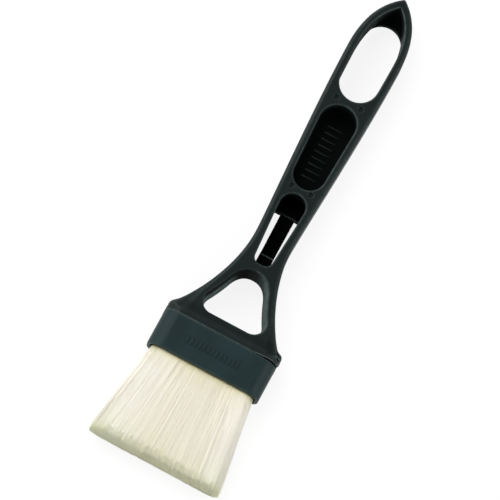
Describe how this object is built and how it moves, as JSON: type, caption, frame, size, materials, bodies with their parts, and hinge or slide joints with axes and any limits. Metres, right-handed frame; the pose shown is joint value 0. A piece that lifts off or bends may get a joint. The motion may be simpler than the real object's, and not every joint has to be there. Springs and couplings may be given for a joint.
{
  "type": "flat paint brush",
  "caption": "Flat brush with pale bristles in a plastic ferrule and an open plastic handle with a triangular yoke, a sprung clip, a panel pocket and a hanging loop.",
  "frame": {"origin": "centre of the brush's outline, on the surface that the brush lies on with its front face up", "axes": "+Y along the brush towards the tip of the handle, +Z out of the front face, +X across to the right"},
  "size_m": [0.059, 0.2232, 0.0164],
  "materials": {
    "handle_plastic": "moulded, satin",
    "ferrule_plastic": "moulded, satin",
    "glue": "hardened resin",
    "plug_wood": "plain sawn",
    "bristle": "fine pale filaments"
  },
  "bodies": {
    "brush": {"handle": "handle_plastic", "ferrule": "ferrule_plastic", "glue_setting": "glue", "spacer_plug_front": "plug_wood", "spacer_plug_back": "plug_wood", "bristles_front": "bristle", "bristles_middle": "bristle", "bristles_back": "bristle"},
    "clip": {"clip_tongue": "handle_plastic"}
  },
  "joints": [
    {"name": "clip_flex", "type": "hinge", "parent": "brush", "child": "clip", "pos_m": [0, 0.00675, 0.0031], "axis": [1, 0, 0], "range_deg": [0, 10], "stiffness_Nm_per_rad": 0.57}
  ]
}
